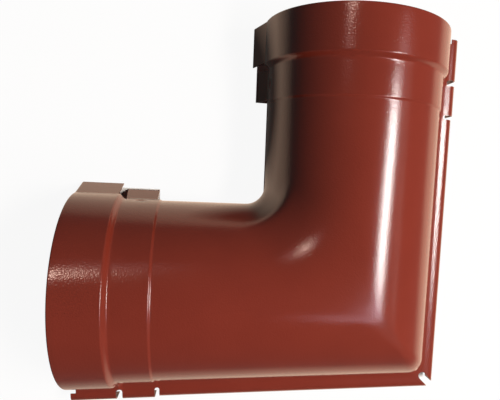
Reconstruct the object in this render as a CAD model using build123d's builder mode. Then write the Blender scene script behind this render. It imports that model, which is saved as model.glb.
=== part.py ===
"""Half-round gutter inside miter, deep drawn from one sheet of coated steel.

It lies with its open side down. Two equal legs meet at a right angle: one runs along -X, the other along +Y.
Each leg ends in a socket that takes a half-round gutter. The long outer side is the rear, with a flange and a
turned-down lip. The short inner side is the front, with a rolled bead and two bent tabs beside each socket.

Lengths along a leg are measured from the miter point, where the two trough axes cross at flange level.
In a section, the first coordinate is the distance from the trough axis, positive to the rear, and the second
is the height above flange level.
"""

import os
from math import cos, pi, sqrt

from build123d import *

# Sheet and trough
sheet = 0.6
trough_bore = 125.0
corner_radius = 13.0

# Band and socket of each leg, with the pressed step that leads up to each
band_swell = 0.8
socket_swell = 3.9
band_start = 134.7
band_step = 2.0
socket_start = 158.7
socket_step = 4.0
leg_length = 191.0
step_stations = 5

# Rear flange and lip
flange_bend = 9.0
flange_flat = 1.45
flange_spread = 1.0
flange_overhang = 3.5
lip_bend = 6.0
foot_depth = 16.0

# Cuts in the flange and lip, with depths measured from the outer face of the lip
inner_slot_place = 135.8
inner_slot_width = 3.3
inner_slot_depth = 9.4
outer_slot_place = 161.9
outer_slot_width = 4.2
outer_slot_depth = 8.8
notch_width = 6.0
notch_depth = 10.9

# Front bead
bead_radius = 6.0
bead_turn = 255.0

# Front tabs, flared outwards below their crease
crease_bend = 3.0
socket_crease_height = 5.0
socket_flare = 14.0
band_flare = 21.0
band_tab_inset = 1.3
tab_gap_width = 4.3
tab_gap_height = 4.5

# Nib pressed into the band above its tab
nib_place = 148.0
nib_height = 9.0
nib_width = 9.5
nib_depth = 0.9


def bend_end(radius):
    """Distance from the trough axis at which the bend off a wall of this radius becomes flat."""
    return sqrt((radius + flange_bend) ** 2 - flange_bend**2)


# Sizes that follow from these
body_radius = trough_bore / 2 + sheet
band_radius = body_radius + band_swell
socket_radius = body_radius + socket_swell
band_end = band_start + band_step
socket_end = socket_start + socket_step
outer_reach = bend_end(socket_radius) + flange_flat + lip_bend
flange_reach = outer_reach - flange_spread
inner_slot_root = outer_reach - inner_slot_depth
outer_slot_root = outer_reach - outer_slot_depth
notch_root = flange_reach - notch_depth
flange_end = leg_length + flange_overhang
miter_offset = (flange_end - outer_reach) / 2
miter_normal = (1, 1, 0)


def leg_plane(along):
    """Section plane of the leg along -X, at this distance from the miter point, facing the socket."""
    return Plane(origin=(-along, 0, 0), x_dir=(0, -1, 0), z_dir=(-1, 0, 0))


def draw_tab(start, direction, flare):
    """Line of a tab: a short crease that turns outwards, then straight down to the foot."""
    crease = JernArc(start, direction, crease_bend, -flare)
    edge_drop = sheet * abs((crease % 1).X)
    tab_drop = (crease @ 1).Y + foot_depth - edge_drop
    PolarLine(crease @ 1, tab_drop, direction=crease % 1, length_mode=LengthMode.VERTICAL)


def trough_section(along, radius, reach, front="plain", front_height=0.0):
    """Section of the sheet from its front edge over the arch and round the bend to the flat of the flange."""
    front_point = (-sqrt(radius**2 - front_height**2), front_height)
    tangent_share = radius / (radius + flange_bend)
    bend_start = (bend_end(radius) * tangent_share, flange_bend * tangent_share)
    with BuildSketch(leg_plane(along)) as section:
        with BuildLine():
            arch = ThreePointArc(front_point, (0, radius), bend_start)
            bend = TangentArc(bend_start, (bend_end(radius), 0), tangent=arch % 1)
            Line(bend @ 1, (reach - lip_bend, 0))
            downwards = (arch % 0) * -1
            if front == "bead":
                JernArc(front_point, downwards, bead_radius, bead_turn)
            if front == "tab":
                draw_tab(front_point, downwards, socket_flare)
            offset(amount=sheet, side=Side.RIGHT)
        make_face()
    return section.sketch


def lip_section(along, radius, reach):
    """Section of the flat of the flange, its bend and its lip, which stands on the foot."""
    with BuildSketch(leg_plane(along)) as section:
        with BuildLine():
            flat = Line((bend_end(radius), 0), (reach - lip_bend, 0))
            bend = TangentArc(flat @ 1, (reach, -lip_bend), tangent=flat % 1)
            Line(bend @ 1, (reach, -foot_depth))
            offset(amount=sheet, side=Side.RIGHT)
        make_face()
    return section.sketch


def band_tab_section(along):
    """Section of the tab below the band."""
    with BuildSketch(leg_plane(along)) as section:
        with BuildLine():
            draw_tab((-band_radius, 0), (0, -1), band_flare)
            offset(amount=sheet, side=Side.LEFT)
        make_face()
    return section.sketch


def step_sections(start, length, radii, reaches):
    """Sections through a pressed step, whose radius and reach ease from one value to the next."""
    sections = []
    for station in range(step_stations):
        share = station / (step_stations - 1)
        eased = (1 - cos(pi * share)) / 2
        radius = radii[0] + (radii[1] - radii[0]) * eased
        reach = reaches[0] + (reaches[1] - reaches[0]) * eased
        sections.append(trough_section(start + length * share, radius, reach))
    return sections


def slot_outline(place, width, root):
    """Outline of a slot with a round root, open to the rear, at foot level."""
    with BuildSketch(Plane.XY.offset(-foot_depth)) as outline:
        with Locations((-place, -root - width / 2)):
            Circle(width / 2)
            Rectangle(width, outer_reach - root, align=(Align.CENTER, Align.MAX))
    return outline.sketch


# Trough of the leg along -X: body with its bead, band, and socket with its tab.
with BuildPart() as trough:
    body_section = trough_section(band_start, body_radius, flange_reach, "bead")
    extrude(body_section, amount=-(band_start + flange_reach))
    band_radii = (body_radius, band_radius)
    loft(step_sections(band_start, band_step, band_radii, (flange_reach, outer_reach)), ruled=True)
    extrude(trough_section(band_end, band_radius, outer_reach), amount=socket_start - band_end)
    socket_radii = (band_radius, socket_radius)
    loft(step_sections(socket_start, socket_step, socket_radii, (outer_reach, outer_reach)), ruled=True)
    socket_section = trough_section(socket_end, socket_radius, outer_reach, "tab", socket_crease_height)
    extrude(socket_section, amount=leg_length - socket_end)
    split(bisect_by=Plane(origin=(-corner_radius, 0, 0), z_dir=miter_normal), keep=Keep.BOTTOM)

# Corner of the trough: the miter section carried round a quarter circle without turning, so that it runs
# smoothly into both legs at every height.
with BuildPart() as corner:
    with BuildLine() as corner_path:
        CenterArc((-corner_radius, corner_radius), corner_radius, 270, 90)
    miter_face = trough.faces().sort_by(Axis((0, 0, 0), miter_normal))[-1]
    sweep(miter_face, path=corner_path.line, normal=miter_normal)

# Nib: a shallow round dimple in the band, pressed inwards.
nib_radius = (nib_width**2 / 4 + nib_depth**2) / (2 * nib_depth)
nib_share = (band_radius + nib_radius - nib_depth) / band_radius
nib_front = sqrt(band_radius**2 - nib_height**2)
nib_centre = (-nib_place, nib_front * nib_share, nib_height * nib_share)
with BuildPart() as nib:
    with Locations(nib_centre):
        Sphere(nib_radius + sheet)
    with BuildSketch(leg_plane(nib_place - nib_width)):
        Circle(band_radius - sheet / 2)
    extrude(amount=2 * nib_width, mode=Mode.INTERSECT)

# Whole leg along -X: the trough with its lip, its band tab and its cuts.
with BuildPart() as leg:
    add(trough.part)
    body_lip = lip_section(inner_slot_place, body_radius, flange_reach)
    band_lip = lip_section(inner_slot_place, band_radius, outer_reach)
    socket_lip = lip_section(outer_slot_place, socket_radius, outer_reach)
    extrude(body_lip, amount=-(inner_slot_place + flange_reach))
    extrude(band_lip, amount=outer_slot_place - inner_slot_place)
    extrude(socket_lip, amount=flange_end - outer_slot_place)
    split(bisect_by=Plane(origin=(0, 0, 0), z_dir=miter_normal), keep=Keep.BOTTOM)
    extrude(band_tab_section(band_end + band_tab_inset), amount=socket_start - band_end - band_tab_inset)
    inner_slot = slot_outline(inner_slot_place, inner_slot_width, inner_slot_root)
    outer_slot = slot_outline(outer_slot_place, outer_slot_width, outer_slot_root)
    extrude(inner_slot, amount=foot_depth + sheet, mode=Mode.SUBTRACT)
    extrude(outer_slot, amount=foot_depth + sheet, mode=Mode.SUBTRACT)
    with BuildSketch(Plane.XZ):
        with Locations((-socket_start - tab_gap_width / 2, tab_gap_height - tab_gap_width / 2)):
            Circle(tab_gap_width / 2)
            Rectangle(tab_gap_width, tab_gap_height + foot_depth, align=(Align.CENTER, Align.MAX))
    extrude(amount=-(outer_reach + foot_depth), mode=Mode.SUBTRACT)
    add(nib.part)
    with Locations(nib_centre):
        Sphere(nib_radius, mode=Mode.SUBTRACT)

# The pressed sheet: both legs and the corner, with the round-ended notch that lets the two lips fold down.
with BuildPart() as pressing:
    add(leg.part)
    add(corner.part)
    mirror(leg.part, about=Plane(origin=(0, 0, 0), z_dir=miter_normal))
    with BuildSketch(Plane.XY.offset(-foot_depth)):
        with Locations(Location((notch_root, -notch_root), -45)):
            Circle(notch_width / 2)
            Rectangle(outer_reach, notch_width, align=(Align.MIN, Align.CENTER))
    extrude(amount=foot_depth + sheet, mode=Mode.SUBTRACT)

# The finished part stands on the floor, centred in plan.
with BuildPart() as gutter_miter:
    with Locations((miter_offset, -miter_offset, foot_depth)):
        add(pressing.part)

os.makedirs("parts", exist_ok=True)
gutter_miter.part.label = "gutter_miter"
export_step(gutter_miter.part, "parts/gutter_miter.step")
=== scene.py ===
import bmesh
import bpy
import numpy as np
from mathutils import Matrix, Vector


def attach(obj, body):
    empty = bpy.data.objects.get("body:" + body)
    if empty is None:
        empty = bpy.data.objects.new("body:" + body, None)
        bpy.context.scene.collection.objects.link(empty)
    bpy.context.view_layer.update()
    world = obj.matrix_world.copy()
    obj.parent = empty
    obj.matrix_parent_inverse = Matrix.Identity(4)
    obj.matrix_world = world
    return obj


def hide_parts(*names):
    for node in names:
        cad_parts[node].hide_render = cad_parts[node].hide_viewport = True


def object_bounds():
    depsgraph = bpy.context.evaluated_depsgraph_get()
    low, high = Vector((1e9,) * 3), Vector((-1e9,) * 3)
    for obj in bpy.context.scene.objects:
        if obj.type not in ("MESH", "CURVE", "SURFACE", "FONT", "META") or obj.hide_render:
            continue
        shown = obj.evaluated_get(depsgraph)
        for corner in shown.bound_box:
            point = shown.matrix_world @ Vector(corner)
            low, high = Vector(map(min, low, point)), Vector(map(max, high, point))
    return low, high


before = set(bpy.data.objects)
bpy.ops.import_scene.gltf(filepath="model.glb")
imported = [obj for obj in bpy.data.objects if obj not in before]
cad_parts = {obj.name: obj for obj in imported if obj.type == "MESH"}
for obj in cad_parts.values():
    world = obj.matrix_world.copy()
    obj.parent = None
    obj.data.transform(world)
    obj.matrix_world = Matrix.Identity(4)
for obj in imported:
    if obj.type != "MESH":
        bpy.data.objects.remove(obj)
cad_low, cad_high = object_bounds()

# Pressed miter: the whole part, one piece of steel sheet 0.6 mm thick, coated before it is formed.
# Two half-round legs and their corner are deep drawn in one go; the socket ends are then expanded in
# two steps, the front edge is rolled or cut into tabs, and the rear flange is slotted and turned down.

# Sizes of the sheet in millimetres. Heights are measured from flange level, distances from the trough axis
# (positive to the rear), and lengths from the miter point where the two trough axes cross.
sheet = 0.6
body_radius = 63.1
band_radius = 63.9
socket_radius = 66.99
band_step = (134.7, 136.7)
socket_step = (158.7, 162.7)
leg_length = 191.0
skirt_height = 5.0
rim_bend = 1.0
rim_drop = 0.45
flange_bend = 11.0
flange_fall = np.radians(4.2)
flange_reach = 81.91
outer_reach = 82.91
flange_end = 194.5
lip_bend = 6.0
foot_depth = 16.0

miter_point = Vector(cad_high) * 1000 - Vector((outer_reach, 0, 0))
miter_point.y = cad_low.y * 1000 + outer_reach
miter_point.z = cad_low.z * 1000 + foot_depth


def eased(value, start, end):
    """Smooth step: 0 before start, 1 after end, half a cosine wave between them."""
    share = np.clip((value - start) / (end - start), 0, 1)
    return (1 - np.cos(np.pi * share)) / 2


def arch_radius(along):
    """Outer radius of the arch at a length along the leg: the body's, two eased steps out, a rounded rim."""
    band_swell = (band_radius - body_radius) * eased(along, *band_step)
    socket_swell = (socket_radius - band_radius) * eased(along, *socket_step)
    rim_share = np.clip((along - leg_length) / rim_bend + 1, 0, 1)
    return body_radius + band_swell + socket_swell - rim_drop * (1 - np.sqrt(1 - rim_share**2))


def flange_width(along):
    """Distance from the axis to the outer face of the lip, which widens at the inner slot."""
    return flange_reach + (outer_reach - flange_reach) * eased(along, *inner_slot)


# Corner: its plan radius changes across the section, wide in the front valley and tight on the rear ridge.
corner_places = (-63.0, -48.0, -18.0, 12.0, 28.0, 60.0)
corner_radii = (13.5, 32.0, 42.0, 9.0, 5.0, 10.0)
corner_reach = 31.0
least_radius = 1e-6


def corner_radius(across):
    """Plan radius of the corner at a distance from the axis, with an eased step between each two places."""
    radius = np.full_like(across, corner_radii[0])
    for k in range(len(corner_places) - 1):
        change = corner_radii[k + 1] - corner_radii[k]
        radius = radius + change * eased(across, corner_places[k], corner_places[k + 1])
    return radius


# Cuts: two slots on each leg and a notch at the corner, all with round roots, and the gap between the tabs.
inner_slot = (134.15, 137.45)
inner_slot_root = 73.5
outer_slot = (159.8, 164.0)
outer_slot_root = 74.1
tab_gap = (158.7, 163.0)
tab_gap_height = 4.5
band_tab_start = 138.0
notch_half = 3.0
notch_root = 71.0
nib_place = 148.0
nib_height = 9.0
nib_half = 5.6
nib_depth = 0.9

# Lengths at which the sheet has a line of vertices, from a leg's socket end to the start of its corner. Each
# stretch has a start, an end and a number of stops. After them come even shares of the way to the corner,
# then lines beside the miter diagonal, one of them at the edge of the notch.
slack = 1e-3
far_off = -1e3
stretches = (
    (outer_slot[1], leg_length - rim_bend, 8),
    (*tab_gap, 19),
    (*outer_slot, 15),
    (band_tab_start, tab_gap[0], 10),
    (nib_place - nib_half, nib_place + nib_half, 21),
    (*inner_slot, 15),
    (*band_step, 13),
)
rim_stops = leg_length - rim_bend + rim_bend * np.sin(np.linspace(0, np.pi / 2, 6))
even_stops = [np.linspace(*stretch) for stretch in stretches]
leg_stops = np.unique(np.concatenate([rim_stops, *even_stops]).round(4))[::-1]
leg_shares = np.linspace(0, 1, 19)[1:]
corner_offsets = np.array(
    [-28, -24.5, -21, -18, -15, -12.5, -10, -8, -6.5, -5, -4, -3, -2.3, -1.7, -1.2, -0.8, -0.4, 0]
)
half_columns = len(leg_stops) + len(leg_shares) + len(corner_offsets)


def column_lengths(across):
    """Length along the leg of every column of one half, for rows at these distances from the axis. Fixed
    stops come first, then even shares of the way to the corner, then lines beside the miter diagonal."""
    first, last = len(leg_stops), half_columns - len(corner_offsets)
    along = np.broadcast_to(leg_along, across.shape).copy()
    corner_start = np.sqrt(2) * corner_reach - across[:, first:last]
    along[:, first:last] += (corner_start - leg_stops[-1]) * leg_shares
    along[:, last:] = -np.sqrt(2) * corner_offsets - across[:, last:]
    return along


def place_half(across, height, offset_from_miter, along, radius):
    """Points of the leg along -X: straight where the miter diagonal is farther than the corner's arc
    reaches, and on a quarter circle of the row's radius where it is nearer."""
    turn = np.arcsin(np.clip(offset_from_miter / np.maximum(radius, least_radius), -1, 1)) + np.pi / 4
    on_arc = offset_from_miter > -radius / np.sqrt(2)
    x = np.where(on_arc, across + radius * (np.sin(turn) - 1), -along)
    y = np.where(on_arc, -across + radius * (1 - np.cos(turn)), -across)
    return np.stack([x, y, height], -1)


def grid_faces(rows, columns, kept):
    """Quads of a grid of rows by columns, wherever the cell is kept, facing away from the trough."""
    index = np.arange(rows * columns).reshape(rows, columns)
    quads = np.stack([index[:-1, :-1], index[1:, :-1], index[1:, 1:], index[:-1, 1:]], -1)
    return quads[kept]


sheet_points = []
sheet_quads = []


def add_patch(points, kept):
    """One patch of the sheet on the leg along -X, and its mirror image about the miter plane."""
    rows, columns = points.shape[:2]
    quads = grid_faces(rows, columns, kept)
    mirrored = points[..., [1, 0, 2]] * (-1, -1, 1)
    for half, order in ((points, quads), (mirrored, quads[:, ::-1])):
        sheet_quads.append(order + sum(len(p) for p in sheet_points))
        sheet_points.append(half.reshape(-1, 3))


def whole_length(rows):
    """Every cell of a patch that runs from the socket end to the miter plane."""
    return np.ones((rows - 1, half_columns - 1), bool)


def columns_between(start, end):
    """Cells whose two columns lie between these lengths along the leg."""
    stops = np.concatenate([leg_stops, np.full(half_columns - len(leg_stops), far_off)])
    low, high = min(start, end), max(start, end)
    inside = (stops >= low - slack) & (stops <= high + slack)
    return inside[:-1] & inside[1:]


leg_along = np.concatenate([leg_stops, np.full(half_columns - len(leg_stops), leg_stops[-1])])
column_radius = arch_radius(leg_along)
column_reach = flange_width(leg_along)
column_offset = np.concatenate([np.full(half_columns - len(corner_offsets), far_off), corner_offsets])


def sweep(across, height, radius=None):
    """Carries section rows along a leg and half way round the corner. across and height have a row for each
    line of the section and a column for each stop; radius is the corner's plan radius for each row."""
    along = column_lengths(across)
    if radius is None:
        radius = corner_radius(across)
    return place_half(across, height, -(along + across) / np.sqrt(2), along, radius)


# Arch, from just above the front edge over the crown to the bend of the flange, with the nib pressed in. Its
# first share has dense rows for the nib.
dense_share = 0.07
dense_rows = 25
arch_rows = 92
front_lean = -np.arccos(skirt_height / column_radius)
rear_lean = np.arccos(flange_bend / (column_radius + flange_bend))
dense = np.linspace(0, dense_share, dense_rows)
arch_share = np.concatenate([dense, np.linspace(dense_share, 1, arch_rows)[1:]])[:, None]
lean = front_lean + (rear_lean - front_lean) * arch_share


def pressed_radius(lean):
    """Radius of the arch less the nib, a smooth round dimple that fades out at its edge."""
    nib_lean = -np.arccos(nib_height / band_radius)
    gap = np.hypot(leg_along - nib_place, band_radius * (lean - nib_lean)) / nib_half
    return column_radius - nib_depth * np.clip(1 - gap**2, 0, 1) ** 2


arch = pressed_radius(lean)
add_patch(sweep(arch * np.sin(lean), arch * np.cos(lean)), whole_length(len(arch_share)))

# Front edge: the last few millimetres of the arch above the bead or tab, cut round at the gap between tabs.
edge_rows = 13
edge_share = np.linspace(0, 1, edge_rows)[:, None]
gap_middle = (tab_gap[0] + tab_gap[1]) / 2
gap_half = (tab_gap[1] - tab_gap[0]) / 2
gap_round = np.sqrt(np.clip(gap_half**2 - (leg_along - gap_middle) ** 2, 0, None))
in_gap = np.abs(leg_along - gap_middle) < gap_half + slack
edge_height = np.where(in_gap, tab_gap_height - gap_half + gap_round, 0)
edge_lean = -np.arccos(edge_height / column_radius)
skirt_lean = edge_lean + (front_lean - edge_lean) * edge_share
skirt = pressed_radius(skirt_lean)
gap_cells = columns_between(*tab_gap)
socket_cells = columns_between(tab_gap[1], leg_length)
kept = whole_length(len(edge_share)) & ~socket_cells & ~gap_cells
plain_lean = -np.pi / 2 + (front_lean + np.pi / 2) * edge_share
plain = pressed_radius(plain_lean)
add_patch(sweep(plain * np.sin(plain_lean), plain * np.cos(plain_lean)), kept)
gap_edge = sweep(skirt * np.sin(skirt_lean), skirt * np.cos(skirt_lean))
add_patch(gap_edge, whole_length(len(edge_share)) & gap_cells)

# Bead: the front edge of the body, rolled inwards through most of a circle.
bead_radius = 6.0
bead_turn = np.radians(255)
bead_rows = 23
roll = np.pi + bead_turn * np.linspace(1, 0, bead_rows)[:, None]
bead_across = bead_radius - column_radius + bead_radius * np.cos(roll)
bead_height = np.broadcast_to(bead_radius * np.sin(roll), bead_across.shape)
bead_cells = ~columns_between(band_step[0], leg_length)
front_radius = np.full_like(bead_across, corner_radii[0])
add_patch(sweep(bead_across, bead_height, front_radius), whole_length(len(roll)) & bead_cells)

# Tabs: below a small crease the sheet flares outwards, straight down to the foot.
crease_bend = 3.0
band_flare = np.radians(21)
socket_flare = np.radians(14)
tab_slant = 1.3
crease_rows = 9
flank_rows = 9


def tab_rows(start_lean, flare):
    """Section of a tab from its foot up to its crease: a straight flank, then an arc into the wall."""
    heading = start_lean + flare
    bend = np.linspace(1, 0, crease_rows)[:, None] * flare
    top_across, top_height = column_radius * np.sin(start_lean), column_radius * np.cos(start_lean)
    crease_across = top_across + crease_bend * (np.sin(start_lean) - np.sin(start_lean + bend))
    crease_height = top_height + crease_bend * (np.cos(start_lean) - np.cos(start_lean + bend))
    foot_height = sheet * np.abs(np.cos(heading)) - foot_depth
    drop = np.linspace(1, 0, flank_rows)[:-1, None] * (crease_height[0] - foot_height)
    flank_across = crease_across[0] - drop * np.cos(heading) / -np.sin(heading)
    rows_across = np.concatenate([flank_across, crease_across])
    return rows_across, np.concatenate([crease_height[0] - drop, crease_height])


across, height = tab_rows(np.full_like(column_radius, -np.pi / 2), band_flare)
band_tab = sweep(across, height)
slant_share = np.clip((leg_along - band_tab_start) / (tab_gap[0] - band_tab_start), 0, 1)
band_tab[..., 0] += tab_slant * slant_share * np.minimum(height, 0) / foot_depth
band_cells = columns_between(band_tab_start, tab_gap[0])
add_patch(band_tab, np.ones((len(across) - 1, 1), bool) & band_cells)
across, height = tab_rows(front_lean, socket_flare)
add_patch(sweep(across, height), np.ones((len(across) - 1, 1), bool) & socket_cells)

# Flange: a bend off the arch, then a flat that falls a little outwards. The flat ends at the roots of the
# slots and the notch, and between them on a line just inside the bend of the lip.
rear_radius = corner_radii[-1]
flat_places = (140.0, 155.0)
flat_ends = (75.1, 76.6)
bend_rows = 11
flat_rows = 6


def slot_round(slot, root):
    """Distance of a slot's round root from the axis at each column, and a mask of the columns it spans."""
    half = (slot[1] - slot[0]) / 2
    away = leg_along - (slot[0] + slot[1]) / 2
    return root + half - np.sqrt(np.clip(half**2 - away**2, 0, None)), np.abs(away) < half + slack


root = np.interp(leg_along, flat_places, flat_ends)
for slot, slot_root in ((inner_slot, inner_slot_root), (outer_slot, outer_slot_root)):
    rounded, spanned = slot_round(slot, slot_root)
    root = np.where(spanned, rounded, root)

# At the corner the flat ends on the round root of the notch, which lies along the miter diagonal.
near_notch = np.abs(column_offset) <= notch_half + slack
near_offset = np.clip(np.abs(column_offset), 0, notch_half)
notch_round = np.sqrt(rear_radius**2 - near_offset**2) + np.sqrt(notch_half**2 - near_offset**2)
root = np.where(near_notch, notch_root + rear_radius - notch_round / np.sqrt(2), root)

bend_middle = np.sqrt((column_radius + flange_bend) ** 2 - flange_bend**2)
flat_lean = np.arcsin(np.clip((bend_middle - root) / flange_bend, np.sin(flange_fall), 1))
bend_lean = flat_lean + (rear_lean - flat_lean) * np.linspace(1, 0, bend_rows)[:, None]
bend_across = bend_middle - flange_bend * np.sin(bend_lean)
bend_height = flange_bend * (1 - np.cos(bend_lean))
flat_across = bend_across[-1] + (root - bend_across[-1]) * np.linspace(0, 1, flat_rows)[1:, None]


def flat_height(across):
    """Height of the flat at distances from the axis: that of the bend's end, less an even fall outwards."""
    return bend_height[-1] - np.tan(flange_fall) * (across - bend_across[-1])


across = np.concatenate([bend_across, flat_across])
height = np.concatenate([bend_height, flat_height(flat_across)])
add_patch(sweep(across, height, np.full_like(across, rear_radius)), whole_length(len(across)))
end_across = across[bend_rows - 1 :, :1]
end_height = height[bend_rows - 1 :, :1]

# Lip: the outer part of the flange and its turned-down edge, square at the corner and open at the cuts.
lip_rows = 11
lip_turn = np.linspace(flange_fall, np.pi / 2, lip_rows)[:, None]
lip_start = column_reach - lip_bend * (1 - np.sin(flange_fall))
lip_across = lip_start + lip_bend * (np.sin(lip_turn) - np.sin(flange_fall))
lip_height = flat_height(lip_start) + lip_bend * (np.cos(lip_turn) - np.cos(flange_fall))
lip_foot = np.full_like(column_reach, -foot_depth)
lip_across = np.stack([root, *lip_across, column_reach, column_reach])
lip_height = np.stack([flat_height(root), *lip_height, (lip_height[-1] + lip_foot) / 2, lip_foot])
lip_radius = np.zeros_like(lip_across)
lip_radius[0] = rear_radius
in_notch = near_notch[:-1] & near_notch[1:]
cut_cells = columns_between(*inner_slot) | columns_between(*outer_slot) | in_notch
add_patch(sweep(lip_across, lip_height, lip_radius), whole_length(len(lip_across)) & ~cut_cells)

# Overhang: flange and lip reach a little past the socket's rim.
end_across = np.concatenate([end_across, lip_across[1:, :1]])
end_height = np.concatenate([end_height, lip_height[1:, :1]])
end_columns = 4
end_along = np.linspace(flange_end, leg_length, end_columns)
end_points = np.stack(np.broadcast_arrays(-end_along, -end_across, end_height), -1)
add_patch(end_points, np.ones((len(end_across) - 1, end_columns - 1), bool))

# The patches are welded along their shared lines, in metres, and the sheet gets its thickness inwards.
weld_gap = 2e-6
least_edge = 1e-7
sharp_angle = np.radians(50)
pressed_mesh = bpy.data.meshes.new("pressed_miter")
points = (np.concatenate(sheet_points) + np.array(miter_point)) / 1000
pressed_mesh.from_pydata(points.tolist(), [], np.concatenate(sheet_quads).tolist())
welded = bmesh.new()
welded.from_mesh(pressed_mesh)
bmesh.ops.remove_doubles(welded, verts=welded.verts, dist=weld_gap)
bmesh.ops.dissolve_degenerate(welded, edges=welded.edges, dist=least_edge)
welded.to_mesh(pressed_mesh)
welded.free()
pressed_miter = bpy.data.objects.new("pressed_miter", pressed_mesh)
bpy.context.scene.collection.objects.link(pressed_miter)

thickness = pressed_miter.modifiers.new("sheet", "SOLIDIFY")
thickness.thickness = sheet / 1000
thickness.offset = -1
bpy.context.view_layer.update()
evaluated = pressed_miter.evaluated_get(bpy.context.evaluated_depsgraph_get())
pressed_miter.data = bpy.data.meshes.new_from_object(evaluated)
pressed_miter.modifiers.clear()
pressed_mesh = pressed_miter.data
pressed_mesh.shade_smooth()
pressed_mesh.set_sharp_from_angle(angle=sharp_angle)


def linear(hex_colour):
    """An sRGB hex colour as linear RGBA."""
    value = np.array([int(hex_colour[k : k + 2], 16) for k in (1, 3, 5)]) / 255
    value = np.where(value <= 0.04045, value / 12.92, ((value + 0.055) / 1.055) ** 2.4)
    return (*value, 1.0)


def node(tree, kind, inputs=None, **settings):
    """Adds a node with these settings; an input is a value, or the output socket that feeds it."""
    made = tree.nodes.new(kind)
    for name, value in settings.items():
        setattr(made, name, value)
    for name, value in (inputs or {}).items():
        if isinstance(value, bpy.types.NodeSocket):
            tree.links.new(value, made.inputs[name])
        else:
            made.inputs[name].default_value = value
    return made


# Coil-coated steel: oxide-red baked polyester paint on galvanised sheet. It is glossy with a fine orange
# peel, so that a highlight keeps a bright core and softens towards its edges, and its colour is very
# faintly mottled. Sizes are in millimetres.
peel_grain = 1.0
peel_depth = 0.2
mottle_size = 30.0
coating = bpy.data.materials.new("coil_coated_steel")
coating.use_nodes = True
tree = coating.node_tree
tree.nodes.clear()
place = node(tree, "ShaderNodeTexCoord").outputs["Object"]
peel = node(tree, "ShaderNodeTexNoise", {"Vector": place, "Scale": 1000 / peel_grain, "Detail": 1.0})
peel_bump = node(
    tree,
    "ShaderNodeBump",
    {"Height": peel.outputs["Fac"], "Strength": 0.40, "Distance": peel_depth / 1000},
)
mottle = node(tree, "ShaderNodeTexNoise", {"Vector": place, "Scale": 1000 / mottle_size, "Detail": 2.0})
paint = node(
    tree,
    "ShaderNodeMix",
    {"Factor": mottle.outputs["Fac"], "A": linear("#7c2e20"), "B": linear("#853324")},
    data_type="RGBA",
)
coat_shader = node(
    tree,
    "ShaderNodeBsdfPrincipled",
    {
        "Base Color": paint.outputs["Result"],
        "Roughness": 0.15,
        "IOR": 1.5,
        "Normal": peel_bump.outputs["Normal"],
    },
)
node(tree, "ShaderNodeOutputMaterial", {"Surface": coat_shader.outputs["BSDF"]})
pressed_mesh.materials.clear()
pressed_mesh.materials.append(coating)
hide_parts("gutter_miter")
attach(pressed_miter, "root")

# Floor: a wide sheet of white paper, white to the eye, in metres. Where the part covers it, it is only as
# bright as the light that gets there, so that gaps and slots look dark. The edges of that cover are in
# millimetres from the trough axis.
floor_half = 6.0
floor_drop = 0.0001
cover_rear = 79.5
cover_front = 62.0
cover_tabs = 70.5

# Painted pool of light on the paper, as the part's gloss shows it, in metres: a glow that fades along a
# slope and away from its middle, with painted shade in the inner corner.
pool_slope = (-0.855, 0.519, 0.0)
pool_fall = (0.12, 0.32)
pool_middle = (0.08, 0.07, 0.0)
pool_edge = (0.22, 0.42)
pool_strength = 1.36
shade_middle = ((miter_point.x - 20) / 1000, (miter_point.y + 145) / 1000, 0)
shade_edge = (0.068, 0.104)
white_share = 0.93
white = linear("#ffffff")


def stage_sheet(name, corners, height, material):
    """A level sheet of the stage with these corners in plan, in metres."""
    mesh = bpy.data.meshes.new(name)
    mesh.from_pydata([(x, y, height) for x, y in corners], [], [tuple(range(len(corners)))])
    mesh.materials.append(material)
    sheet_object = bpy.data.objects.new(name, mesh)
    bpy.context.scene.collection.objects.link(sheet_object)


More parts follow.
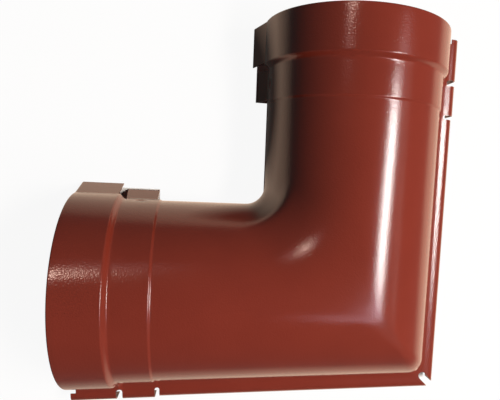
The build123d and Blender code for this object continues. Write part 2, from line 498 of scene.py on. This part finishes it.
def paper(name):
    """White paper to the eye. In the part's gloss it is a painted warm pool of light that fades away from
    the key lamp, with painted shade in the inner corner, and it throws little light back up."""
    material = bpy.data.materials.new(name)
    material.use_nodes = True
    tree = material.node_tree
    tree.nodes.clear()
    rays = node(tree, "ShaderNodeLightPath").outputs
    place = node(tree, "ShaderNodeTexCoord").outputs["Object"]
    measures = (
        ("DOT_PRODUCT", pool_slope, pool_fall),
        ("DISTANCE", pool_middle, pool_edge),
        ("DISTANCE", shade_middle, shade_edge),
    )
    shares = []
    for operation, other, (start, end) in measures:
        away = node(tree, "ShaderNodeVectorMath", {0: place, 1: other}, operation=operation)
        limits = {"Value": away.outputs["Value"], "From Min": start, "From Max": end}
        shares.append(node(tree, "ShaderNodeMapRange", limits).outputs[0])
    fall, edge, clear = shares
    fade = node(tree, "ShaderNodeMath", {0: fall, 1: edge}, operation="MAXIMUM").outputs[0]
    # Painted pool of light for the gloss, warm near and dim far, then painted shade over the inner corner.
    tones = {"Factor": fade, "A": linear("#ffdbc0"), "B": linear("#5e5e5e")}
    pool = node(tree, "ShaderNodeMix", tones, data_type="RGBA").outputs["Result"]
    tones = {"Factor": clear, "A": linear("#4d4844"), "B": pool}
    pool = node(tree, "ShaderNodeMix", tones, data_type="RGBA").outputs["Result"]
    mirrored = node(tree, "ShaderNodeEmission", {"Color": pool, "Strength": pool_strength})
    tones = {"Factor": rays["Is Diffuse Ray"], "A": linear("#fffaf2"), "B": linear("#2c2926")}
    lit = node(tree, "ShaderNodeMix", tones, data_type="RGBA").outputs["Result"]
    matt = node(tree, "ShaderNodeBsdfDiffuse", {"Color": lit})
    ways = {0: rays["Is Glossy Ray"], 1: matt.outputs[0], 2: mirrored.outputs[0]}
    mixed = node(tree, "ShaderNodeMixShader", ways)
    bright = node(tree, "ShaderNodeEmission", {"Color": white, "Strength": 1.0})
    seen = node(tree, "ShaderNodeMath", {0: rays["Is Camera Ray"], 1: white_share}, operation="MULTIPLY")
    ways = {0: seen.outputs[0], 1: mixed.outputs[0], 2: bright.outputs[0]}
    mixed = node(tree, "ShaderNodeMixShader", ways)
    node(tree, "ShaderNodeOutputMaterial", {"Surface": mixed.outputs[0]})
    return material


floor_corners = [(x * floor_half, y * floor_half) for x, y in ((-1, -1), (1, -1), (1, 1), (-1, 1))]
stage_sheet("floor", floor_corners, -floor_drop, paper("white_paper"))
shaded_paper = bpy.data.materials.new("shaded_paper")
shaded_paper.use_nodes = True
shaded_paper.node_tree.nodes.clear()
shaded = node(shaded_paper.node_tree, "ShaderNodeBsdfDiffuse", {"Color": linear("#fffaf2")})
node(shaded_paper.node_tree, "ShaderNodeOutputMaterial", {"Surface": shaded.outputs[0]})
leg_cover = [
    (-leg_length, -cover_rear),
    (-leg_length, cover_tabs),
    (-band_tab_start, cover_tabs),
    (-band_tab_start, cover_front),
    (-cover_front, cover_front),
]
other_cover = [(-y, -x) for x, y in leg_cover[-2::-1]]
cover_corners = [*leg_cover, *other_cover, (cover_rear, -cover_rear)]
cover_corners = [((x + miter_point.x) / 1000, (y + miter_point.y) / 1000) for x, y in cover_corners[::-1]]
stage_sheet("covered_floor", cover_corners, 0, shaded_paper)

# Studio light: one narrow softbox high on the right gives the long highlight and most of the light. The
# front lamps are far away and only show in the gloss, as small sheens on the valley and the sockets. The
# fill lamp only adds soft light, and the faint panels soften the ends and edges of the long highlight.
crown_shift = 0.04
crown = Vector(miter_point) / 1000 + Vector((0, crown_shift, body_radius / 1000))


def softbox(name, offset, length, width, turn, power, colour):
    """A rectangular area lamp at an offset in metres from the crown, facing it, its long side turned by
    an angle in plan."""
    lamp = bpy.data.lights.new(name, "AREA")
    lamp.shape = "RECTANGLE"
    lamp.size = width
    lamp.size_y = length
    lamp.energy = power
    lamp.color = linear(colour)[:3]
    holder = bpy.data.objects.new(name, lamp)
    bpy.context.scene.collection.objects.link(holder)
    back = Vector(offset).normalized()
    along = Vector((np.sin(np.radians(turn)), np.cos(np.radians(turn)), 0))
    side = along.cross(back).normalized()
    up = back.cross(side)
    turned = Matrix((side, up, back)).transposed().to_4x4()
    holder.matrix_world = Matrix.Translation(crown + Vector(offset)) @ turned
    return holder


softbox("key_softbox", (0.717, 0.007, 1.0), 0.60, 0.17, 17, 15.0, "#fffaf6")
softbox("key_end", (0.60, -0.375, 1.0), 0.19, 0.17, 17, 1.15, "#f6e6f4")
front_lamps = [
    softbox("front_softbox", (-1.42, 1.83, 3.48), 0.42, 0.16, 39, 13.0, "#ffdac7"),
    softbox("front_middle", (-1.09, 2.16, 3.48), 0.51, 0.16, 55, 1.4, "#ffdacd"),
    softbox("front_near", (-1.63, 1.41, 3.48), 0.42, 0.35, 0, 1.1, "#ffdfe4"),
    softbox("front_panel", (-1.18, 2.37, 3.48), 0.70, 0.35, 48, 0.4, "#ffdfe4"),
    softbox("front_end", (-0.79, 2.72, 3.48), 0.60, 0.35, 48, 0.8, "#ffdfe4"),
]
for lamp in front_lamps:
    lamp.visible_diffuse = False
softbox("top_softbox", (0.95, 0.42, 1.0), 0.30, 0.28, 17, 0.45, "#ffe6ee")
softbox("rear_softbox", (0.34, -0.50, 0.95), 0.10, 0.26, 0, 0.30, "#f0dcf0")
softbox("rear_panel", (0.44, -0.40, 0.95), 0.22, 0.20, 0, 0.22, "#ecd4ee")
softbox("side_softbox", (1.17, 0.0, 0.80), 0.90, 0.08, 0, 0.45, "#ffe8e0")
fill = softbox("fill_softbox", (0.85, -0.77, 0.77), 0.60, 0.60, 0, 6.3, "#fffaf6")
fill.visible_glossy = False

# World: a dim studio around the part, a little brighter in the gloss, and white where the camera looks past
# the floor.
dim_level = 0.015
gloss_level = 0.115
world = bpy.data.worlds.new("studio")
bpy.context.scene.world = world
world.use_nodes = True
tree = world.node_tree
tree.nodes.clear()
rays = node(tree, "ShaderNodeLightPath")
levels = {0: rays.outputs["Is Glossy Ray"], 1: gloss_level, 2: dim_level}
strength = node(tree, "ShaderNodeMath", levels, operation="MULTIPLY_ADD")
dim = node(tree, "ShaderNodeBackground", {"Color": white, "Strength": strength.outputs[0]})
blank = node(tree, "ShaderNodeBackground", {"Color": white, "Strength": 1.0})
ways = {0: rays.outputs["Is Camera Ray"], 1: dim.outputs[0], 2: blank.outputs[0]}
mixed = node(tree, "ShaderNodeMixShader", ways)
node(tree, "ShaderNodeOutputWorld", {"Surface": mixed.outputs[0]})

# Camera: close above the part, looking down over the left leg, as in the photograph. Its place is in
# millimetres from the miter point, its turn in degrees, and its lens and middle are in the image's pixels.
camera_place = (-103.33, 82.29, 358.30)
camera_turn = (-5.8457, -11.1391, 2.8198)
photo_width = 500
photo_height = 400
focal_pixels = 490.378
middle_pixel = (305.764, 225.554)
lens = bpy.data.cameras.new("camera")
lens.sensor_width = 36.0
lens.lens = focal_pixels / photo_width * lens.sensor_width
lens.shift_x = (photo_width / 2 - middle_pixel[0]) / photo_width
lens.shift_y = (middle_pixel[1] - photo_height / 2) / photo_width
lens.clip_start = 0.01
camera = bpy.data.objects.new("camera", lens)
bpy.context.scene.collection.objects.link(camera)
camera.location = (Vector(camera_place) + miter_point) / 1000
camera.rotation_euler = np.radians(camera_turn)
bpy.context.scene.camera = camera
bpy.context.scene.view_settings.view_transform = "Standard"
